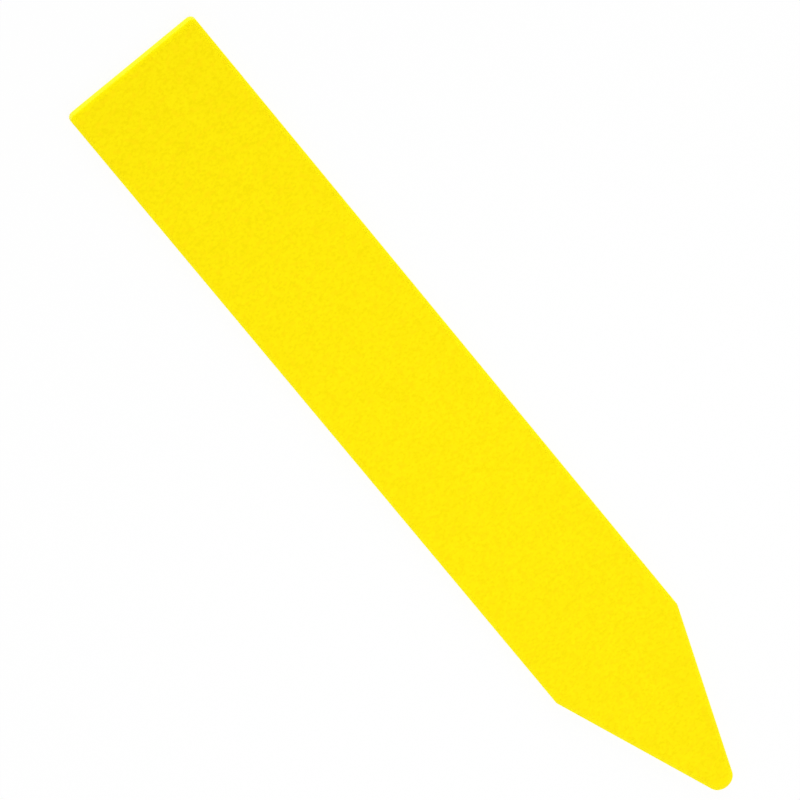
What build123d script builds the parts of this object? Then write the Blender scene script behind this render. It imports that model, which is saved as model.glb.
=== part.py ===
from build123d import *
import math
import os

# Stick-in plant label: one flat strip cut from plastic sheet, with a square head and a rounded point.
# It lies on its back, in millimetres: X across, +Y from the point to the head, +Z out of the writing face.
# The origin is on the back face, halfway along the length and the width.

# Driving dimensions
LENGTH = 120.0             # end of the head to the end of the rounded tip
WIDTH = 17.0               # across the two parallel sides
THICKNESS = 1.0            # of the sheet
POINT_LENGTH = 22.9        # shoulders to the end of the rounded tip
TIP_RADIUS = 1.55          # of the rounded tip
HEAD_CORNER_RADIUS = 0.7   # of the two corners of the head
SHOULDER_RADIUS = 1.0      # where the sides turn into the point
FRONT_EDGE_ROLL = 0.2      # radius that the cutting edge presses into the rim of the writing face
BACK_EDGE_BREAK = 0.05     # chamfer where the cut comes out at the back

# The rim's rounding and chamfer may each take up to this share of the sheet and of the corners they go round
RIM_SHARE = 0.4
# A head corner may take up to this share of the width
CORNER_SHARE = 0.45
# How far from its nominal height along Y a corner of the outline is looked for
CORNER_REACH = 0.01

# Places along the length and across the width
half_width = WIDTH / 2
head_y = LENGTH / 2
tip_y = -LENGTH / 2
shoulder_y = tip_y + POINT_LENGTH

# Each tapered edge runs from a shoulder and touches the arc of the tip
tip_centre_run = POINT_LENGTH - TIP_RADIUS
shoulder_to_centre = math.hypot(half_width, tip_centre_run)
taper_angle = math.atan2(half_width, tip_centre_run) - math.asin(TIP_RADIUS / shoulder_to_centre)
apex_y = shoulder_y - half_width / math.tan(taper_angle)

# Roundings, limited by the walls that they are cut from
head_corner = min(HEAD_CORNER_RADIUS, CORNER_SHARE * WIDTH)
rim_limit = RIM_SHARE * min(THICKNESS, head_corner, SHOULDER_RADIUS, TIP_RADIUS)
front_roll = min(FRONT_EDGE_ROLL, rim_limit)
back_break = min(BACK_EDGE_BREAK, rim_limit)


def corners_at(outline, y):
    """The corners of an outline that lie at one height along its length."""
    return outline.vertices().filter_by_position(Axis.Y, y - CORNER_REACH, y + CORNER_REACH)


def label_outline():
    """The label seen from the front: sharp corners first, then each pair of corners gets its own radius."""
    with BuildSketch() as outline:
        with BuildLine():
            Polyline(
                (-half_width, head_y),
                (half_width, head_y),
                (half_width, shoulder_y),
                (0, apex_y),
                (-half_width, shoulder_y),
                close=True,
            )
        make_face()
        fillet(corners_at(outline, head_y), head_corner)
        fillet(corners_at(outline, shoulder_y), SHOULDER_RADIUS)
        fillet(corners_at(outline, apex_y), TIP_RADIUS)
    return outline.sketch


def label_blade():
    """The outline cut through the sheet, with a rolled rim in front and a broken rim behind."""
    with BuildPart() as blade:
        add(label_outline())
        extrude(amount=THICKNESS)
        fillet(blade.faces().sort_by(Axis.Z)[-1].edges(), front_roll)
        chamfer(blade.faces().sort_by(Axis.Z)[0].edges(), back_break)
    return blade.part


os.makedirs("parts", exist_ok=True)
export_step(label_blade(), "parts/label_blade.step")
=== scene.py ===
"""Plant label stake: a stick-in label cut from matt yellow plastic sheet, laid on a white studio floor."""

import math

import bmesh
import bpy
from bpy.props import FloatProperty, FloatVectorProperty, IntProperty, PointerProperty
from mathutils import Matrix, Vector


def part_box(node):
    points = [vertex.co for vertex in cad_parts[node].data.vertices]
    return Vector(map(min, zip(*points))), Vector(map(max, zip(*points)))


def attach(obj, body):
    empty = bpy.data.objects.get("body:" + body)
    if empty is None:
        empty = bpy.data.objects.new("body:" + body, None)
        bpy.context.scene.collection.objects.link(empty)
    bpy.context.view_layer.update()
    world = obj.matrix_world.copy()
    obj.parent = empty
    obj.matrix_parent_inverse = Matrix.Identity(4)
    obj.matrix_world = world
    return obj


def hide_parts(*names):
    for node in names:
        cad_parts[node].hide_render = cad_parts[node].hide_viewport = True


bl_info = {
    "name": "Plant label stake",
    "version": (1, 0, 0),
    "blender": (4, 5, 0),
    "location": "3D View > Sidebar > Plant Label",
    "description": "Models a stick-in plant label cut from yellow sheet and lays it on a white floor",
    "category": "Add Mesh",
}

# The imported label, its box and the names that the record gives it
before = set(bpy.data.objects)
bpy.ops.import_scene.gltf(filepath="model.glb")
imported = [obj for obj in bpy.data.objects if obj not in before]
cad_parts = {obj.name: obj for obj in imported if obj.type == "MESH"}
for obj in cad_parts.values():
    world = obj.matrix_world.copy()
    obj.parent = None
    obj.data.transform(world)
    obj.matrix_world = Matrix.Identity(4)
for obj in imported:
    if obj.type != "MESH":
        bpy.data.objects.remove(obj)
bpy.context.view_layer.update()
NODE = "label_blade"
BODY = "root"
NODE_LOW, NODE_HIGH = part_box(NODE)
NODE_SIZE = NODE_HIGH - NODE_LOW

MM = 0.001

# Slots of the label's mesh
FACE_SLOT = 0
EDGE_SLOT = 1

# A face of the mesh that leans less than this from upright belongs to the cut wall
WALL_LEAN = math.radians(30)
# Vertices closer than this are one vertex
SAME_PLACE = 1e-7
# Mesh attribute: 1 on the rim that the cutter pressed, 0 on the open sheet; the face material paints the
# rim's highlight and flattens the grain by it
RIM = "rim"

# Noise behind the grain, the patches, the flecks and the drag marks
GRAIN_NOISE = {"Detail": 2.0, "Roughness": 0.55}
PATCH_NOISE = {"Detail": 2.0, "Roughness": 0.5}
FLECK_NOISE = {"Detail": 1.0, "Roughness": 0.5}
DRAG_NOISE = {"Detail": 2.0, "Roughness": 0.6}
# Levels of that noise at which each mask is empty and full
SPOT_LEVELS = (0.25, 0.75)
PIT_LEVELS = (0.50, 0.30)
PATCH_LEVELS = (0.25, 0.75)
FLECK_LEVELS = (0.50, 0.75)
DRAG_LEVELS = (0.3, 0.7)
# Drag marks run through the sheet, so their noise changes this much slower in that direction
DRAG_PACE = 0.08
# Grain of the cut wall, as a share of the face's
WALL_GRAIN_SHARE = 0.5

# Sockets of a Mix node for colours, whose names its other sockets share
MIX_FIRST = 6
MIX_SECOND = 7
MIX_RESULT = 2

WHITE = (1.0, 1.0, 1.0)
FLOOR_SIDES = 64


class LabelShape(bpy.types.PropertyGroup):
    """Sizes of the label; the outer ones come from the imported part."""

    length: FloatProperty(
        name="Length", description="End of the head to the end of the tip",
        unit="LENGTH", default=NODE_SIZE.y
    )
    width: FloatProperty(
        name="Width", description="Across the two parallel sides",
        unit="LENGTH", default=NODE_SIZE.x
    )
    thickness: FloatProperty(
        name="Thickness", description="Of the sheet",
        unit="LENGTH", default=NODE_SIZE.z
    )
    point_length: FloatProperty(
        name="Point length", description="Shoulders to the end of the tip",
        unit="LENGTH", default=22.9 * MM
    )
    tip_radius: FloatProperty(
        name="Tip radius", description="Rounding of the tip",
        unit="LENGTH", default=1.55 * MM
    )
    head_corner: FloatProperty(
        name="Head corner", description="Rounding of the head's corners",
        unit="LENGTH", default=0.7 * MM
    )
    shoulder: FloatProperty(
        name="Shoulder", description="Rounding where a side turns into the point",
        unit="LENGTH", default=1.0 * MM
    )
    roll_depth: FloatProperty(
        name="Roll depth", description="How far the cutter pressed the front rim down",
        unit="LENGTH", default=0.2 * MM
    )
    roll_width: FloatProperty(
        name="Roll width", description="How far in from the rim the front bends down",
        unit="LENGTH", default=0.6 * MM
    )
    back_break: FloatProperty(
        name="Back break", description="Rounding where the cut leaves the back",
        unit="LENGTH", default=0.05 * MM
    )
    arc_step: FloatProperty(
        name="Arc step", description="Largest turn between two vertices of an arc",
        subtype="ANGLE", default=math.radians(5)
    )
    roll_steps: IntProperty(
        name="Roll steps", description="Faces across the rolled rim",
        min=1, default=8
    )
    break_steps: IntProperty(
        name="Break steps", description="Faces across the broken back rim",
        min=1, default=2
    )


class LabelFinish(bpy.types.PropertyGroup):
    """Colours, grain and gloss of the plastic, with paler painted-highlight yellows for the rolled rim and
    the cut wall.
    """

    light_yellow: FloatVectorProperty(
        name="Light yellow", description="High spots of the matt face",
        subtype="COLOR", min=0, max=1, default=(1.0, 0.847, 0.0012)
    )
    deep_yellow: FloatVectorProperty(
        name="Deep yellow", description="Low spots of the matt face",
        subtype="COLOR", min=0, max=1, default=(0.950, 0.752, 0.0)
    )
    # Painted highlight: the rolled rim's two yellows are paler than the face's, standing in for the light
    # that the rounded rim catches; the plastic there is not bleached.
    rim_highlight_yellow: FloatVectorProperty(
        name="Rim yellow", description="High spots of the rolled rim, bleached where it was stretched",
        subtype="COLOR", min=0, max=1, default=(1.0, 0.925, 0.005)
    )
    rim_highlight_deep: FloatVectorProperty(
        name="Rim deep yellow", description="Low spots of the rolled rim",
        subtype="COLOR", min=0, max=1, default=(0.97, 0.815, 0.003)
    )
    # Painted highlight: the cut wall's two yellows are paler than the face's, standing in for light on the
    # wall and offsetting the shade near the floor; the cut does not bleach the plastic. The darker of the
    # two carries the real drag marks.
    edge_highlight_yellow: FloatVectorProperty(
        name="Edge yellow", description="Cut wall, bleached a little by the cut",
        subtype="COLOR", min=0, max=1, default=(1.0, 0.935, 0.034)
    )
    edge_highlight_drag_yellow: FloatVectorProperty(
        name="Edge deep yellow", description="Drag marks in the cut wall",
        subtype="COLOR", min=0, max=1, default=(1.0, 0.895, 0.026)
    )
    fleck_yellow: FloatVectorProperty(
        name="Fleck yellow", description="Scattered golden flecks of pigment",
        subtype="COLOR", min=0, max=1, default=(1.0, 0.74, 0.002)
    )
    pit_yellow: FloatVectorProperty(
        name="Pit yellow", description="Deepest pits of the grain",
        subtype="COLOR", min=0, max=1, default=(0.920, 0.745, 0.0)
    )
    gloss_tint: FloatVectorProperty(
        name="Gloss tint", description="Colour of the gloss seen face on",
        subtype="COLOR", min=0, max=1, default=(1.0, 0.86, 0.02)
    )
    grain_size: FloatProperty(
        name="Grain size", description="Width of one grain of the matt face",
        unit="LENGTH", default=0.38 * MM
    )
    patch_size: FloatProperty(
        name="Patch size", description="Width of a patch of slightly other yellow",
        unit="LENGTH", default=2.2 * MM
    )
    patch_share: FloatProperty(
        name="Patch share", description="Share of the patches in the tone of the face, beside the grain",
        subtype="FACTOR", min=0, max=1, default=0.28
    )
    fleck_size: FloatProperty(
        name="Fleck size", description="Spacing of the golden flecks",
        unit="LENGTH", default=0.9 * MM
    )
    fleck_strength: FloatProperty(
        name="Fleck strength", description="How far a fleck takes the face to its own colour",
        subtype="FACTOR", min=0, max=1, default=0.5
    )
    grain_depth: FloatProperty(
        name="Grain depth", description="Height of the grain",
        unit="LENGTH", default=0.010 * MM
    )
    drag_size: FloatProperty(
        name="Drag mark size", description="Width of one drag mark in the cut wall",
        unit="LENGTH", default=0.18 * MM
    )
    drag_depth: FloatProperty(
        name="Drag mark depth", description="Depth of the drag marks",
        unit="LENGTH", default=0.003 * MM
    )
    face_roughness: FloatVectorProperty(
        name="Face roughness", description="Of the low and the high spots of the matt face",
        size=2, min=0, max=1, default=(0.62, 0.50)
    )
    edge_roughness: FloatVectorProperty(
        name="Edge roughness", description="Of the low and the high spots of the cut wall",
        size=2, min=0, max=1, default=(0.55, 0.40)
    )
    face_specular: FloatProperty(
        name="Face gloss", description="Strength of the mirror-like share on the matt face",
        subtype="FACTOR", min=0, max=1, default=0.16
    )
    edge_specular: FloatProperty(
        name="Edge gloss", description="Strength of the mirror-like share on the cut wall",
        subtype="FACTOR", min=0, max=1, default=0.30
    )


class LabelStage(bpy.types.PropertyGroup):
    """Floor, lamps and camera; a share of light is a share of full light."""

    floor_radius: FloatProperty(
        name="Floor radius", description="Size of the round floor",
        unit="LENGTH", default=3.0
    )
    floor_colour: FloatVectorProperty(
        name="Floor colour", description="Pale floor under the label",
        subtype="COLOR", min=0, max=1, default=(0.95, 0.95, 0.95)
    )
    floor_white: FloatProperty(
        name="Floor white", description="Share of plain white that the camera sees in the floor",
        subtype="FACTOR", min=0, max=1, default=0.9
    )
    horizon_share: FloatProperty(
        name="Horizon share", description="Light of the tent's walls",
        subtype="FACTOR", min=0, max=2, default=1.45
    )
    zenith_share: FloatProperty(
        name="Zenith share", description="Light of the tent's top",
        subtype="FACTOR", min=0, max=2, default=0.21
    )
    head_lamp_share: FloatProperty(
        name="Head lamp share", description="Light from the lamp beyond the head",
        subtype="FACTOR", min=0, max=2, default=0.28
    )
    head_lamp_place: FloatVectorProperty(
        name="Head lamp place", description="Where the lamp beyond the head stands",
        subtype="TRANSLATION", unit="LENGTH", default=(1.05, 2.15, 0.72)
    )
    head_lamp_size: FloatProperty(
        name="Head lamp size", description="Side of the lamp beyond the head",
        unit="LENGTH", default=1.2
    )
    fill_lamp_share: FloatProperty(
        name="Fill lamp share", description="Light from the lamp beyond the point",
        subtype="FACTOR", min=0, max=2, default=0.15
    )
    fill_lamp_place: FloatVectorProperty(
        name="Fill lamp place", description="Where the lamp beyond the point stands",
        subtype="TRANSLATION", unit="LENGTH", default=(-0.40, -1.70, 0.96)
    )
    fill_lamp_size: FloatProperty(
        name="Fill lamp size", description="Side of the lamp beyond the point",
        unit="LENGTH", default=1.0
    )
    tip_lamp_share: FloatProperty(
        name="Tip lamp share", description="Light from the lamp above the point",
        subtype="FACTOR", min=0, max=2, default=0.29
    )
    tip_lamp_place: FloatVectorProperty(
        name="Tip lamp place", description="Where the lamp above the point hangs",
        subtype="TRANSLATION", unit="LENGTH", default=(0.0, -0.03, 0.24)
    )
    tip_lamp_size: FloatProperty(
        name="Tip lamp size", description="Side of the lamp above the point",
        unit="LENGTH", default=0.10
    )
    camera_lean: FloatProperty(
        name="Camera lean", description="Lean from straight above towards the head",
        subtype="ANGLE", default=math.radians(33.168)
    )
    camera_swing: FloatProperty(
        name="Camera swing", description="Swing to the right of the head",
        subtype="ANGLE", default=math.radians(0.913)
    )
    camera_roll: FloatProperty(
        name="Camera roll", description="Turn of the camera about its view",
        subtype="ANGLE", default=math.radians(39.351)
    )
    camera_distance: FloatProperty(
        name="Camera distance", description="From the aim point to the lens",
        unit="LENGTH", default=1.6537
    )
    camera_aim: FloatVectorProperty(
        name="Camera aim", description="Point of the floor in the middle of the picture",
        subtype="TRANSLATION", unit="LENGTH", default=(-0.548 * MM, 5.737 * MM, 0.0)
    )
    camera_lens: FloatProperty(
        name="Camera lens", description="Focal length in millimetres",
        unit="CAMERA", default=693.65
    )


# Outline and solid of the label

def taper_angle(shape):
    """Angle between the centre line and a tapered edge that runs from a shoulder onto the tip's arc."""
    run = shape.point_length - shape.tip_radius
    half = shape.width / 2
    return math.atan2(half, run) - math.asin(shape.tip_radius / math.hypot(half, run))


def only_verts(geometry):
    """The vertices among what a mesh operator gives back."""
    return [item for item in geometry if isinstance(item, bmesh.types.BMVert)]


def add_arc(bm, shape, centre, radius, start, end):
    """Spins a vertex about a centre from one angle to another, and gives the first and last vertex."""
    first = bm.verts.new((centre[0] + radius * math.cos(start), centre[1] + radius * math.sin(start), 0))
    turn = end - start
    steps = max(1, math.ceil(abs(turn) / shape.arc_step))
    spun = bmesh.ops.spin(
        bm, geom=[first], cent=(*centre, 0), axis=(0, 0, 1), angle=turn, steps=steps, use_duplicate=False
    )
    last, = only_verts(spun["geom_last"])
    return first, last


def add_outline(bm, shape):
    """The right half of the outline, from the middle of the head to the tip, mirrored and filled."""
    half = shape.width / 2
    head_y = shape.length / 2
    tip_y = -head_y
    taper = taper_angle(shape)
    shoulder_y = tip_y + shape.point_length + shape.shoulder * math.tan(taper / 2)

    head_middle = bm.verts.new((0, head_y, 0))
    corner_centre = (half - shape.head_corner, head_y - shape.head_corner)
    corner = add_arc(bm, shape, corner_centre, shape.head_corner, math.pi / 2, 0)
    shoulder = add_arc(bm, shape, (half - shape.shoulder, shoulder_y), shape.shoulder, 0, -taper)
    tip = add_arc(bm, shape, (0, tip_y + shape.tip_radius), shape.tip_radius, -taper, -math.pi / 2)
    for start, end in ((head_middle, corner[0]), (corner[1], shoulder[0]), (shoulder[1], tip[0])):
        bm.edges.new((start, end))

    bmesh.ops.mirror(bm, geom=bm.verts[:] + bm.edges[:], axis="X", merge_dist=SAME_PLACE)
    bmesh.ops.remove_doubles(bm, verts=bm.verts[:], dist=SAME_PLACE)
    bmesh.ops.contextual_create(bm, geom=bm.edges[:])


def round_rim(bm, face, width, depth, steps, rim):
    """Insets a face step by step along a quarter ellipse, so that its rim rolls over to the wall."""
    run, rise = 0.0, 0.0
    for step in range(1, steps + 1):
        turn = math.pi / 2 * step / steps
        next_run, next_rise = width * (1 - math.cos(turn)), depth * math.sin(turn)
        bmesh.ops.inset_region(
            bm, faces=[face], thickness=next_run - run, depth=next_rise - rise,
            use_even_offset=True, use_boundary=True
        )
        run, rise = next_run, next_rise
        for vert in face.verts:
            vert[rim] = 1 - step / steps


def settle_order(bm):
    """Orders edges and faces by their vertices, because an extrusion makes its walls in any order."""
    bm.verts.index_update()
    for elements in (bm.edges, bm.faces):
        by_verts = sorted(elements, key=lambda element: sorted(vert.index for vert in element.verts))
        rank = {element: place for place, element in enumerate(by_verts)}
        elements.sort(key=rank.get)


def label_mesh(shape):
    """The label's mesh: outline, thickness, rolled and broken rims, slots and the rim attribute."""
    bm = bmesh.new()
    rim = bm.verts.layers.float.new(RIM)
    add_outline(bm, shape)
    wall = shape.thickness - shape.roll_depth - shape.back_break
    raised = bmesh.ops.extrude_face_region(bm, geom=bm.faces[:])
    bmesh.ops.translate(bm, verts=only_verts(raised["geom"]), vec=(0, 0, wall))
    middle = (NODE_LOW + NODE_HIGH) / 2
    bmesh.ops.translate(bm, verts=bm.verts[:], vec=(middle.x, middle.y, NODE_LOW.z + shape.back_break))
    bmesh.ops.recalc_face_normals(bm, faces=bm.faces[:])
    bm.normal_update()
    for vert in bm.verts:
        vert[rim] = 1.0

    by_height = sorted(bm.faces, key=lambda f: f.calc_center_median().z)
    round_rim(bm, by_height[-1], shape.roll_width, shape.roll_depth, shape.roll_steps, rim)
    round_rim(bm, by_height[0], shape.back_break, shape.back_break, shape.break_steps, rim)
    bm.normal_update()

    wall_rise = math.sin(WALL_LEAN)
    for face in bm.faces:
        face.smooth = True
        face.material_index = EDGE_SLOT if abs(face.normal.z) < wall_rise else FACE_SLOT
    settle_order(bm)

    mesh = bpy.data.meshes.new("cut_label")
    bm.to_mesh(mesh)
    bm.free()
    return mesh


# Nodes

def start_tree(owner):
    """The node tree of a material or a world, emptied."""
    owner.use_nodes = True
    owner.node_tree.nodes.clear()
    return owner.node_tree


def feed(tree, socket, value):
    """Joins an input to an output, or sets it to a number, a vector or a colour of three numbers."""
    if isinstance(value, bpy.types.NodeSocket):
        tree.links.new(value, socket)
    elif socket.type == "RGBA":
        socket.default_value = (*value, 1)
    else:
        socket.default_value = value


def add_node(tree, kind, **inputs):
    """A node of one kind, with inputs fed by name; an underscore in a name stands for a space."""
    node = tree.nodes.new(kind)
    for name, value in inputs.items():
        feed(tree, node.inputs[name.replace("_", " ")], value)
    return node


def add_math(tree, operation, first, second):
    """A Math node on two inputs, each a socket or a number."""
    node = tree.nodes.new("ShaderNodeMath")
    node.operation = operation
    for socket, value in zip(node.inputs, (first, second)):
        feed(tree, socket, value)
    return node.outputs["Value"]


def add_mix(tree, share, first, second):
    """Mixes two colours, each a socket or three numbers, by a share."""
    node = add_node(tree, "ShaderNodeMix", Factor=share)
    node.data_type = "RGBA"
    feed(tree, node.inputs[MIX_FIRST], first)
    feed(tree, node.inputs[MIX_SECOND], second)
    return node.outputs[MIX_RESULT]


def add_range(tree, value, old=(0.0, 1.0), new=(0.0, 1.0)):
    """Stretches a value from an old range to a new one, and stops it at the ends."""
    node = add_node(
        tree, "ShaderNodeMapRange", Value=value,
        From_Min=old[0], From_Max=old[1], To_Min=new[0], To_Max=new[1]
    )
    return node.outputs["Result"]


def add_bump(tree, height, depth):
    """A normal that follows a height."""
    return add_node(tree, "ShaderNodeBump", Strength=1.0, Distance=depth, Height=height).outputs["Normal"]


def mix_shaders(tree, share, plain, white):
    """Mixes a plain shader with a white one by a share."""
    node = tree.nodes.new("ShaderNodeMixShader")
    for socket, value in zip(node.inputs, (share, plain, white)):
        feed(tree, socket, value)
    return node.outputs["Shader"]


def seen_directly(tree):
    """1 for what the camera sees, straight or in a reflection or through glass, and 0 for other light."""
    path = tree.nodes.new("ShaderNodeLightPath").outputs
    mirrored = add_math(tree, "MAXIMUM", path["Is Glossy Ray"], path["Is Transmission Ray"])
    return add_math(tree, "MAXIMUM", path["Is Camera Ray"], mirrored)


# Materials

def grain_group():
    """Shared effect: the grain that matt rollers press into plastic sheet, as masks and a height."""
    group = bpy.data.node_groups.new("sheet_grain", "ShaderNodeTree")
    group.interface.new_socket("Vector", in_out="INPUT", socket_type="NodeSocketVector")
    for name in ("Grain Size", "Patch Size", "Fleck Size"):
        group.interface.new_socket(name, in_out="INPUT", socket_type="NodeSocketFloat")
    enter = group.nodes.new("NodeGroupInput").outputs

    def noise(size, settings):
        scale = add_math(group, "DIVIDE", 1.0, enter[size])
        node = add_node(group, "ShaderNodeTexNoise", Vector=enter["Vector"], Scale=scale, **settings)
        return node.outputs["Fac"]

    fine = noise("Grain Size", GRAIN_NOISE)
    results = {
        "Spots": add_range(group, fine, SPOT_LEVELS),
        "Pits": add_range(group, fine, PIT_LEVELS),
        "Patches": add_range(group, noise("Patch Size", PATCH_NOISE), PATCH_LEVELS),
        "Flecks": add_range(group, noise("Fleck Size", FLECK_NOISE), FLECK_LEVELS),
        "Height": fine,
    }
    for name in results:
        group.interface.new_socket(name, in_out="OUTPUT", socket_type="NodeSocketFloat")
    add_node(group, "NodeGroupOutput", **results)
    return group


def place_grain(tree, group, finish, grain_size):
    """Puts the shared grain into a material, on the label's own coordinates."""
    place = tree.nodes.new("ShaderNodeTexCoord").outputs["Object"]
    grain = tree.nodes.new("ShaderNodeGroup")
    grain.node_tree = group
    feed(tree, grain.inputs["Vector"], place)
    feed(tree, grain.inputs["Grain Size"], grain_size)
    feed(tree, grain.inputs["Patch Size"], finish.patch_size)
    feed(tree, grain.inputs["Fleck Size"], finish.fleck_size)
    return grain.outputs, place


def face_material(finish, group):
    """Matt sheet face: fine mottled grain, pressed flat on the rolled rim, where a painted highlight makes
    it paler.
    """
    material = bpy.data.materials.new("matt_yellow_face")
    tree = start_tree(material)
    grain, _ = place_grain(tree, group, finish, finish.grain_size)
    attribute = tree.nodes.new("ShaderNodeAttribute")
    attribute.attribute_name = RIM
    rim = attribute.outputs["Fac"]

    spots = add_math(tree, "MULTIPLY", grain["Spots"], 1 - finish.patch_share)
    patches = add_math(tree, "MULTIPLY", grain["Patches"], finish.patch_share)
    tone = add_math(tree, "ADD", spots, patches)
    colour = add_mix(tree, tone, finish.deep_yellow, finish.light_yellow)
    colour = add_mix(tree, grain["Pits"], colour, finish.pit_yellow)
    flecks = add_math(tree, "MULTIPLY", grain["Flecks"], finish.fleck_strength)
    colour = add_mix(tree, flecks, colour, finish.fleck_yellow)
    # Painted highlight: the rolled rim takes paler yellows than the face, standing in for the light that
    # the rim catches, and blends into the face by the rim attribute.
    rolled = add_mix(tree, tone, finish.rim_highlight_deep, finish.rim_highlight_yellow)
    height = add_math(tree, "MULTIPLY", grain["Height"], add_math(tree, "SUBTRACT", 1.0, rim))

    shader = add_node(
        tree, "ShaderNodeBsdfPrincipled",
        Base_Color=add_mix(tree, rim, colour, rolled),
        Roughness=add_range(tree, grain["Spots"], new=finish.face_roughness),
        Specular_IOR_Level=finish.face_specular,
        Specular_Tint=finish.gloss_tint,
        Normal=add_bump(tree, height, finish.grain_depth),
    )
    add_node(tree, "ShaderNodeOutputMaterial", Surface=shader.outputs["BSDF"])
    return material


def edge_material(shape, finish, group):
    """Cut wall: a clean cut near the front and a tear-off zone near the back, with drag marks through the
    sheet; its yellows are paler than the face's, a painted highlight, most of all near the back.
    """
    material = bpy.data.materials.new("yellow_cut_edge")
    tree = start_tree(material)
    grain, place = place_grain(tree, group, finish, finish.grain_size * WALL_GRAIN_SHARE)
    stretch = add_node(tree, "ShaderNodeMapping", Vector=place, Scale=(1.0, 1.0, DRAG_PACE))
    drag = add_node(
        tree, "ShaderNodeTexNoise",
        Vector=stretch.outputs["Vector"], Scale=1.0 / finish.drag_size, **DRAG_NOISE
    ).outputs["Fac"]
    axes = add_node(tree, "ShaderNodeSeparateXYZ", Vector=place)
    wall_low = NODE_LOW.z + shape.back_break
    wall_high = NODE_LOW.z + shape.thickness - shape.roll_depth
    rise = add_range(tree, axes.outputs["Z"], (wall_low, wall_high))

    marks = add_range(tree, drag, DRAG_LEVELS)
    # Painted highlight: near the back the wall's yellows are palest, standing in for light on the wall and
    # offsetting the shade by the floor; the drag marks show as a darker yellow in them.
    torn_and_highlight = add_mix(tree, marks, finish.edge_highlight_drag_yellow, finish.edge_highlight_yellow)
    # Near the front the wall takes the rolled rim's painted-highlight yellows.
    rolled = add_mix(tree, grain["Spots"], finish.rim_highlight_deep, finish.rim_highlight_yellow)

    shader = add_node(
        tree, "ShaderNodeBsdfPrincipled",
        Base_Color=add_mix(tree, rise, torn_and_highlight, rolled),
        Roughness=add_range(tree, grain["Spots"], new=finish.edge_roughness),
        Specular_IOR_Level=finish.edge_specular,
        Specular_Tint=finish.gloss_tint,
        Normal=add_bump(tree, drag, finish.drag_depth),
    )
    add_node(tree, "ShaderNodeOutputMaterial", Surface=shader.outputs["BSDF"])
    return material


def floor_material(stage):
    """Pale floor: the camera sees it mostly as plain white, with what is left of the label's shadow."""
    material = bpy.data.materials.new("white_floor")
    tree = start_tree(material)
    pale = add_node(tree, "ShaderNodeBsdfDiffuse", Color=stage.floor_colour)
    white = add_node(tree, "ShaderNodeEmission", Color=WHITE, Strength=1.0)
    share = add_math(tree, "MULTIPLY", seen_directly(tree), stage.floor_white)
    surface = mix_shaders(tree, share, pale.outputs["BSDF"], white.outputs["Emission"])
    add_node(tree, "ShaderNodeOutputMaterial", Surface=surface)
    return material


# Stage

def add_floor(context, stage):
    """A round floor at the height of the label's back."""
    bm = bmesh.new()
    bmesh.ops.create_circle(bm, cap_ends=True, segments=FLOOR_SIDES, radius=stage.floor_radius)
    bmesh.ops.translate(bm, verts=bm.verts[:], vec=(0, 0, NODE_LOW.z))
    mesh = bpy.data.meshes.new("studio_floor")
    bm.to_mesh(mesh)
    bm.free()
    mesh.materials.append(floor_material(stage))
    floor = bpy.data.objects.new("studio_floor", mesh)
    context.scene.collection.objects.link(floor)


def add_tent(context, stage):
    """Soft light from all round, as in a light tent: more from its walls than its top, seen as white."""
    world = bpy.data.worlds.new("light_tent")
    tree = start_tree(world)
    direction = tree.nodes.new("ShaderNodeTexCoord").outputs["Generated"]
    axes = add_node(tree, "ShaderNodeSeparateXYZ", Vector=direction)
    glow = add_range(tree, axes.outputs["Z"], new=(stage.horizon_share, stage.zenith_share))
    light = add_node(tree, "ShaderNodeBackground", Color=WHITE, Strength=glow)
    white = add_node(tree, "ShaderNodeBackground", Color=WHITE, Strength=1.0)
    surface = mix_shaders(
        tree, seen_directly(tree), light.outputs["Background"], white.outputs["Background"]
    )
    add_node(tree, "ShaderNodeOutputWorld", Surface=surface)
    context.scene.world = world


def add_lamp(context, name, place, size, share):
    """A square soft lamp that faces the label and gives it a share of full light, face on."""
    place = Vector(place)
    data = bpy.data.lights.new(name, "AREA")
    data.shape = "SQUARE"
    data.size = size
    # Face on, a lamp gives its energy over pi times the distance squared, and full light is pi
    data.energy = share * math.pi ** 2 * place.length_squared
    lamp = bpy.data.objects.new(name, data)
    lamp.location = place
    lamp.rotation_mode = "QUATERNION"
    lamp.rotation_quaternion = (-place).to_track_quat("-Z", "Y")
    lamp.visible_camera = False
    context.scene.collection.objects.link(lamp)


def add_camera(context, stage):
    """The camera, leaning from straight above towards the head and rolled about its view."""
    lean, swing = stage.camera_lean, stage.camera_swing
    back = Vector((math.sin(lean) * math.sin(swing), math.sin(lean) * math.cos(swing), math.cos(lean)))
    right = Vector((1, 0, 0))
    right = (right - back * right.dot(back)).normalized()
    axes = Matrix((right, back.cross(right), back)).transposed()
    turn = axes @ Matrix.Rotation(-stage.camera_roll, 3, "Z")
    place = Vector(stage.camera_aim) + back * stage.camera_distance

    data = bpy.data.cameras.new("photo_camera")
    data.lens = stage.camera_lens
    camera = bpy.data.objects.new("photo_camera", data)
    camera.matrix_world = Matrix.Translation(place) @ turn.to_4x4()
    context.scene.collection.objects.link(camera)
    context.scene.camera = camera


# Operators and panel

class PLANTLABEL_OT_make_label(bpy.types.Operator):
    """Model the cut label and give it its matt face and its cut edge, with painted highlights that make
    the rim and the wall paler
    """

    bl_idname = "plant_label.make_label"
    bl_label = "Make Label"
    bl_options = {"REGISTER", "UNDO"}

    def execute(self, context):
        shape = context.scene.label_shape
        finish = context.scene.label_finish
        mesh = label_mesh(shape)
        if not mesh.polygons:
            raise RuntimeError("the label's outline could not be filled")
        group = grain_group()
        mesh.materials.append(face_material(finish, group))
        mesh.materials.append(edge_material(shape, finish, group))
        label = bpy.data.objects.new("cut_label", mesh)
        context.scene.collection.objects.link(label)
        normals = label.modifiers.new("even_shading", "WEIGHTED_NORMAL")
        normals.mode = "FACE_AREA"
        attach(label, BODY)
        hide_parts(NODE)
        return {"FINISHED"}


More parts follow.
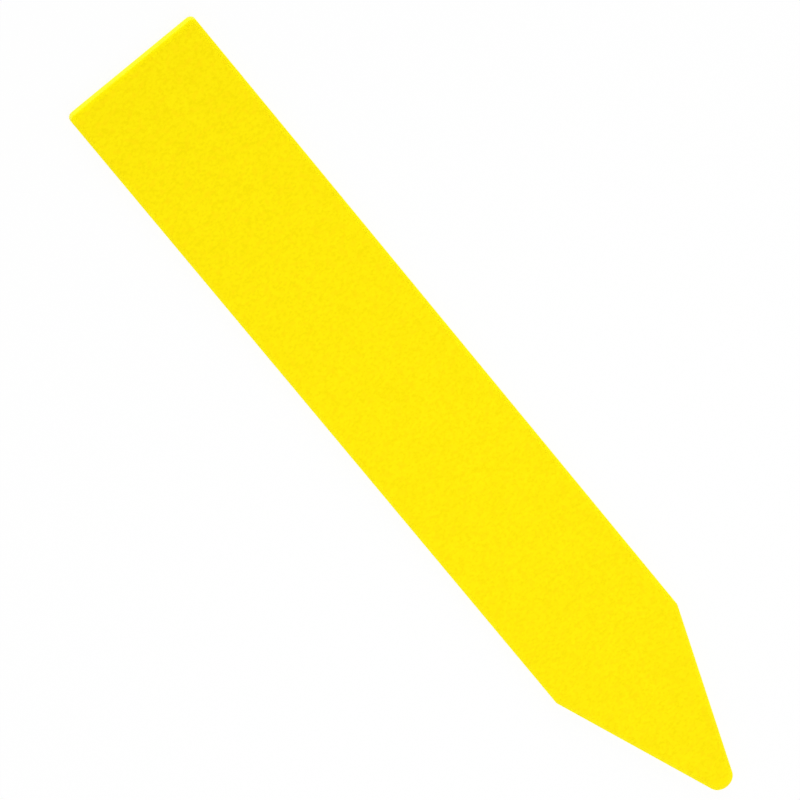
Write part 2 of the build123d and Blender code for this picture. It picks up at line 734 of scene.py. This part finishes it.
class PLANTLABEL_OT_make_stage(bpy.types.Operator):
    """Lay the white floor, hang the soft lamps and set the camera"""

    bl_idname = "plant_label.make_stage"
    bl_label = "Make Stage"
    bl_options = {"REGISTER", "UNDO"}

    def execute(self, context):
        stage = context.scene.label_stage
        add_floor(context, stage)
        add_tent(context, stage)
        add_lamp(context, "head_lamp", stage.head_lamp_place, stage.head_lamp_size, stage.head_lamp_share)
        add_lamp(context, "fill_lamp", stage.fill_lamp_place, stage.fill_lamp_size, stage.fill_lamp_share)
        add_lamp(context, "tip_lamp", stage.tip_lamp_place, stage.tip_lamp_size, stage.tip_lamp_share)
        add_camera(context, stage)
        context.scene.view_settings.view_transform = "Standard"
        return {"FINISHED"}


class PLANTLABEL_PT_panel(bpy.types.Panel):
    """Lists the label's sizes, finish and stage, with a button for each step"""

    bl_idname = "PLANTLABEL_PT_panel"
    bl_label = "Plant Label"
    bl_space_type = "VIEW_3D"
    bl_region_type = "UI"
    bl_category = "Plant Label"

    def draw(self, context):
        scene = context.scene
        parts = (
            (scene.label_shape, None),
            (scene.label_finish, PLANTLABEL_OT_make_label),
            (scene.label_stage, PLANTLABEL_OT_make_stage),
        )
        for group, operator in parts:
            box = self.layout.box()
            for name in group.__annotations__:
                box.prop(group, name)
            if operator:
                box.operator(operator.bl_idname)


CLASSES = (
    LabelShape,
    LabelFinish,
    LabelStage,
    PLANTLABEL_OT_make_label,
    PLANTLABEL_OT_make_stage,
    PLANTLABEL_PT_panel,
)


def register():
    for cls in CLASSES:
        bpy.utils.register_class(cls)
    bpy.types.Scene.label_shape = PointerProperty(type=LabelShape)
    bpy.types.Scene.label_finish = PointerProperty(type=LabelFinish)
    bpy.types.Scene.label_stage = PointerProperty(type=LabelStage)


def unregister():
    del bpy.types.Scene.label_stage
    del bpy.types.Scene.label_finish
    del bpy.types.Scene.label_shape
    for cls in reversed(CLASSES):
        bpy.utils.unregister_class(cls)


def main():
    register()
    bpy.ops.plant_label.make_label()
    bpy.ops.plant_label.make_stage()


if __name__ == "__main__":
    main()
